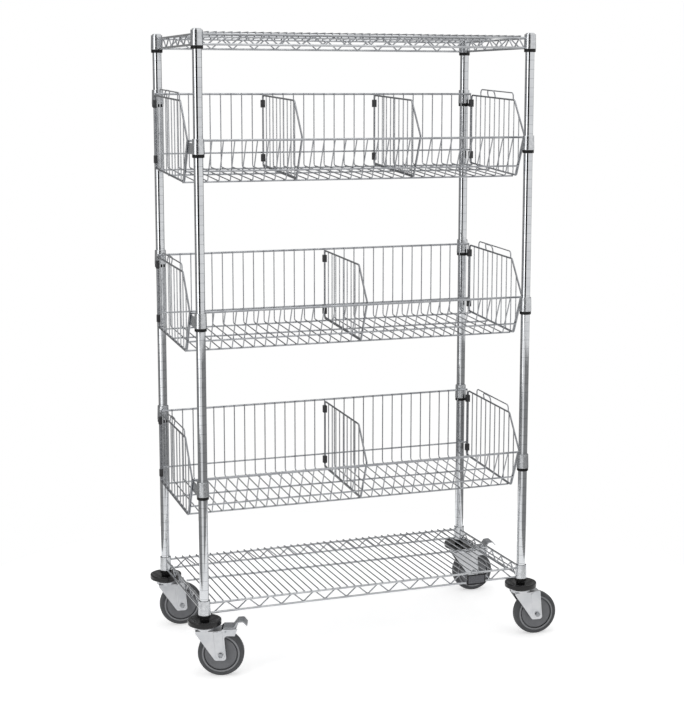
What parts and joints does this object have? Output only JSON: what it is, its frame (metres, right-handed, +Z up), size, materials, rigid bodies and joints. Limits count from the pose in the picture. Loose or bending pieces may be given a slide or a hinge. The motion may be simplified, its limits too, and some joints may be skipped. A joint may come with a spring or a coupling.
{
  "type": "mobile wire shelving rack",
  "caption": "Mobile wire storage rack on swivel casters: grooved posts carry flat wire shelves at top and bottom and sloped wire baskets with clip-in dividers between them.",
  "frame": {"origin": "on the floor, midway between the four posts", "axes": "+Z up, +X to the right along the front, +Y from the open front to the back"},
  "size_m": [1.1207, 0.5423, 1.738],
  "materials": {
    "chrome_posts": "bright plated tube",
    "chrome_caps": "bright plated",
    "chrome_wire": "bright plated wire",
    "black_plastic": "fine grain",
    "grey_card": "blank card",
    "black_rubber": "smooth moulded",
    "zinc_steel": "zinc plated",
    "grey_tyre": "smooth tread",
    "grey_hub": "satin"
  },
  "bodies": {
    "rack": {"post_front_left": "chrome_posts", "post_front_right": "chrome_posts", "post_back_left": "chrome_posts", "post_back_right": "chrome_posts", "post_caps": "chrome_caps", "top_shelf_collars": "chrome_wire", "top_shelf_edge_rails": "chrome_wire", "top_shelf_zigzag_wires": "chrome_wire", "top_shelf_deck_wires": "chrome_wire", "bottom_shelf_collars": "chrome_wire", "bottom_shelf_edge_rails": "chrome_wire", "bottom_shelf_zigzag_wires": "chrome_wire", "bottom_shelf_deck_wires": "chrome_wire", "upper_basket_collars": "chrome_wire", "upper_basket_cross_wires": "chrome_wire", "upper_basket_long_wires": "chrome_wire", "upper_basket_left_end": "chrome_wire", "upper_basket_right_end": "chrome_wire", "upper_basket_clips": "black_plastic", "upper_basket_left_divider": "chrome_wire", "upper_basket_right_divider": "chrome_wire", "middle_basket_collars": "chrome_wire", "middle_basket_cross_wires": "chrome_wire", "middle_basket_long_wires": "chrome_wire", "middle_basket_left_end": "chrome_wire", "middle_basket_right_end": "chrome_wire", "middle_basket_clips": "black_plastic", "middle_basket_divider": "chrome_wire", "lower_basket_collars": "chrome_wire", "lower_basket_cross_wires": "chrome_wire", "lower_basket_long_wires": "chrome_wire", "lower_basket_left_end": "chrome_wire", "lower_basket_right_end": "chrome_wire", "lower_basket_clips": "black_plastic", "lower_basket_divider": "chrome_wire", "shelf_sleeves": "black_plastic", "basket_sleeves": "black_plastic", "label_holder": "black_plastic", "label_card": "grey_card", "caster_stems": "zinc_steel", "caster_bumpers": "black_rubber"},
    "front_left_swivel": {"front_left_fork": "zinc_steel", "front_left_axle": "zinc_steel"},
    "front_left_wheel": {"front_left_tyre": "grey_tyre", "front_left_hub": "grey_hub"},
    "front_left_pedal": {"front_left_brake_pedal": "zinc_steel"},
    "front_right_swivel": {"front_right_fork": "zinc_steel", "front_right_axle": "zinc_steel"},
    "front_right_wheel": {"front_right_tyre": "grey_tyre", "front_right_hub": "grey_hub"},
    "back_left_swivel": {"back_left_fork": "zinc_steel", "back_left_axle": "zinc_steel"},
    "back_left_wheel": {"back_left_tyre": "grey_tyre", "back_left_hub": "grey_hub"},
    "back_right_swivel": {"back_right_fork": "zinc_steel", "back_right_axle": "zinc_steel"},
    "back_right_wheel": {"back_right_tyre": "grey_tyre", "back_right_hub": "grey_hub"},
    "back_right_pedal": {"back_right_brake_pedal": "zinc_steel"}
  },
  "joints": [
    {"name": "front_left_swivel_turn", "type": "hinge", "parent": "rack", "child": "front_left_swivel", "pos_m": [-0.478, -0.218, 0.13], "axis": [0, 0, 1], "continuous": true},
    {"name": "front_left_wheel_spin", "type": "hinge", "parent": "front_left_swivel", "child": "front_left_wheel", "pos_m": [-0.43652, -0.23269, 0.0635], "axis": [0.3338, 0.9426, 0], "continuous": true},
    {"name": "front_left_brake_press", "type": "hinge", "parent": "front_left_swivel", "child": "front_left_pedal", "pos_m": [-0.42333, -0.23736, 0.129], "axis": [0.3338, 0.9426, 0], "range_deg": [0, 10]},
    {"name": "front_right_swivel_turn", "type": "hinge", "parent": "rack", "child": "front_right_swivel", "pos_m": [0.478, -0.218, 0.13], "axis": [0, 0, 1], "continuous": true},
    {"name": "front_right_wheel_spin", "type": "hinge", "parent": "front_right_swivel", "child": "front_right_wheel", "pos_m": [0.52176, -0.2226, 0.0635], "axis": [0.1045, 0.9945, 0], "continuous": true},
    {"name": "back_left_swivel_turn", "type": "hinge", "parent": "rack", "child": "back_left_swivel", "pos_m": [-0.478, 0.218, 0.13], "axis": [0, 0, 1], "continuous": true},
    {"name": "back_left_wheel_spin", "type": "hinge", "parent": "back_left_swivel", "child": "back_left_wheel", "pos_m": [-0.43424, 0.2134, 0.0635], "axis": [0.1045, 0.9945, 0], "continuous": true},
    {"name": "back_right_swivel_turn", "type": "hinge", "parent": "rack", "child": "back_right_swivel", "pos_m": [0.478, 0.218, 0.13], "axis": [0, 0, 1], "continuous": true},
    {"name": "back_right_wheel_spin", "type": "hinge", "parent": "back_right_swivel", "child": "back_right_wheel", "pos_m": [0.52176, 0.2134, 0.0635], "axis": [0.1045, 0.9945, 0], "continuous": true},
    {"name": "back_right_brake_press", "type": "hinge", "parent": "back_right_swivel", "child": "back_right_pedal", "pos_m": [0.53568, 0.21194, 0.129], "axis": [0.1045, 0.9945, 0], "range_deg": [0, 10]}
  ]
}
